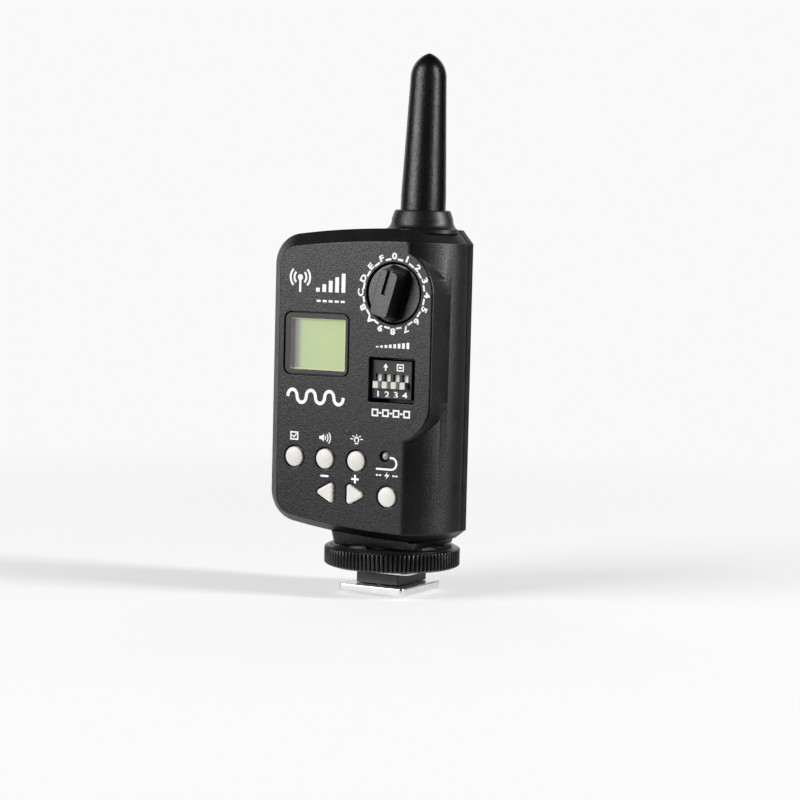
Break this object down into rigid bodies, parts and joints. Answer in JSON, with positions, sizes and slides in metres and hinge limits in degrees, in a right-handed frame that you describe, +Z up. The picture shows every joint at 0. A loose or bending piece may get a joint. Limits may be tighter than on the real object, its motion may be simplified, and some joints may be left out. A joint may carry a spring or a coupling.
{
  "type": "wireless flash trigger",
  "caption": "Hot-shoe radio flash trigger: upright keypad housing with display, rotary dial and DIP switch, stub antenna on top and a knurled lock wheel over a hot-shoe foot.",
  "frame": {"origin": "centre of the underside of the hot-shoe foot, on the lock wheel's axis", "axes": "+Z up along the lock wheel's axis and the antenna, -Y out of the control face, +X to the right as the controls are read"},
  "size_m": [0.0495, 0.0368, 0.1372],
  "materials": {
    "shell": "fine-textured black ABS",
    "dial": "satin black ABS",
    "wheel": "black nylon, knurled",
    "rubber_sleeve": "satin black rubber",
    "copper_wire": "plain",
    "window": "clear acrylic",
    "lcd": "yellow-green reflective display",
    "dark_trim": "matte",
    "circuit_board": "solder-masked laminate",
    "dip_body": "matte",
    "led_lens": "clear epoxy",
    "ivory_cap": "satin ivory",
    "white_plastic": "plain",
    "cell": "shrink-wrapped cell",
    "steel": "nickelled",
    "plate_metal": "bright plated",
    "brass": "gold-plated tip"
  },
  "bodies": {
    "housing": {"front_case": "shell", "rear_case": "shell", "foot_pedestal": "shell", "antenna_sleeve": "rubber_sleeve", "antenna_rod": "copper_wire", "display_window": "window", "lcd_frame": "dark_trim", "lcd_panel": "lcd", "main_board": "circuit_board", "rotary_switch_body": "dark_trim", "dip_switch_body": "dip_body", "status_led": "led_lens", "battery_cell_1": "cell", "battery_cell_2": "cell", "contact_coil_1": "steel", "contact_coil_2": "steel", "contact_tab_1": "steel", "contact_tab_2": "steel", "foot_plate": "plate_metal", "foot_neck": "dark_trim", "foot_stem": "steel", "contact_insulator": "white_plastic", "case_screw_1": "steel", "case_screw_2": "steel", "case_screw_3": "steel", "case_screw_4": "steel", "foot_screw_1": "steel", "foot_screw_2": "steel", "sync_jack": "dark_trim", "power_switch_body": "dark_trim", "tact_set": "dark_trim", "tact_buzz": "dark_trim", "tact_lamp": "dark_trim", "tact_minus": "dark_trim", "tact_plus": "dark_trim", "tact_test": "dark_trim"},
    "power_dial": {"power_dial": "dial"},
    "lock_wheel": {"lock_wheel": "wheel"},
    "clamp_washer": {"clamp_washer": "steel"},
    "contact_pin": {"contact_pin": "brass"},
    "power_slider": {"power_slider": "dark_trim"},
    "battery_door": {"battery_door": "shell"},
    "button_set": {"button_set": "ivory_cap"},
    "button_buzz": {"button_buzz": "ivory_cap"},
    "button_lamp": {"button_lamp": "ivory_cap"},
    "button_minus": {"button_minus": "ivory_cap"},
    "button_plus": {"button_plus": "ivory_cap"},
    "button_test": {"button_test": "ivory_cap"},
    "dip_slider_1": {"dip_slider_1": "white_plastic"},
    "dip_slider_2": {"dip_slider_2": "white_plastic"},
    "dip_slider_3": {"dip_slider_3": "white_plastic"},
    "dip_slider_4": {"dip_slider_4": "white_plastic"}
  },
  "joints": [
    {"name": "dial_turn", "type": "hinge", "parent": "housing", "child": "power_dial", "pos_m": [0.00635, -0.014, 0.07635], "axis": [0, -1, 0], "continuous": true},
    {"name": "set_press", "type": "slide", "parent": "housing", "child": "button_set", "axis": [0, 1, 0], "range_m": [0, 0.0006], "stiffness_N_per_m": 400, "springref_m": -0.0005},
    {"name": "buzz_press", "type": "slide", "parent": "housing", "child": "button_buzz", "axis": [0, 1, 0], "range_m": [0, 0.0006], "stiffness_N_per_m": 400, "springref_m": -0.0005},
    {"name": "lamp_press", "type": "slide", "parent": "housing", "child": "button_lamp", "axis": [0, 1, 0], "range_m": [0, 0.0006], "stiffness_N_per_m": 400, "springref_m": -0.0005},
    {"name": "minus_press", "type": "slide", "parent": "housing", "child": "button_minus", "axis": [0, 1, 0], "range_m": [0, 0.0006], "stiffness_N_per_m": 400, "springref_m": -0.0005},
    {"name": "plus_press", "type": "slide", "parent": "housing", "child": "button_plus", "axis": [0, 1, 0], "range_m": [0, 0.0006], "stiffness_N_per_m": 400, "springref_m": -0.0005},
    {"name": "test_press", "type": "slide", "parent": "housing", "child": "button_test", "axis": [0, 1, 0], "range_m": [0, 0.0006], "stiffness_N_per_m": 400, "springref_m": -0.0005},
    {"name": "dip_slider_1_shift", "type": "slide", "parent": "housing", "child": "dip_slider_1", "axis": [0, 0, 1], "range_m": [0, 0.0017]},
    {"name": "dip_slider_2_shift", "type": "slide", "parent": "housing", "child": "dip_slider_2", "axis": [0, 0, 1], "range_m": [0, 0.0017]},
    {"name": "dip_slider_3_shift", "type": "slide", "parent": "housing", "child": "dip_slider_3", "axis": [0, 0, 1], "range_m": [0, 0.0017]},
    {"name": "dip_slider_4_shift", "type": "slide", "parent": "housing", "child": "dip_slider_4", "axis": [0, 0, 1], "range_m": [0, 0.0017]},
    {"name": "washer_travel", "type": "slide", "parent": "housing", "child": "clamp_washer", "axis": [0, 0, -1], "range_m": [0, 0.0012]},
    {"name": "wheel_turn", "type": "hinge", "parent": "clamp_washer", "child": "lock_wheel", "pos_m": [0, 0, 0.0085], "axis": [0, 0, -1], "range_deg": [0, 360]},
    {"name": "contact_retract", "type": "slide", "parent": "housing", "child": "contact_pin", "axis": [0, 0, 1], "range_m": [0, 0.0006], "stiffness_N_per_m": 300, "springref_m": -0.0005},
    {"name": "power_shift", "type": "slide", "parent": "housing", "child": "power_slider", "axis": [0, 0, 1], "range_m": [0, 0.0032]},
    {"name": "door_slide", "type": "slide", "parent": "housing", "child": "battery_door", "axis": [0, 0, 1], "range_m": [0, 0.006]}
  ],
  "couplings": [
    {"joint": "washer_travel", "follows": "wheel_turn", "m_per_rad": 0.00019098}
  ]
}
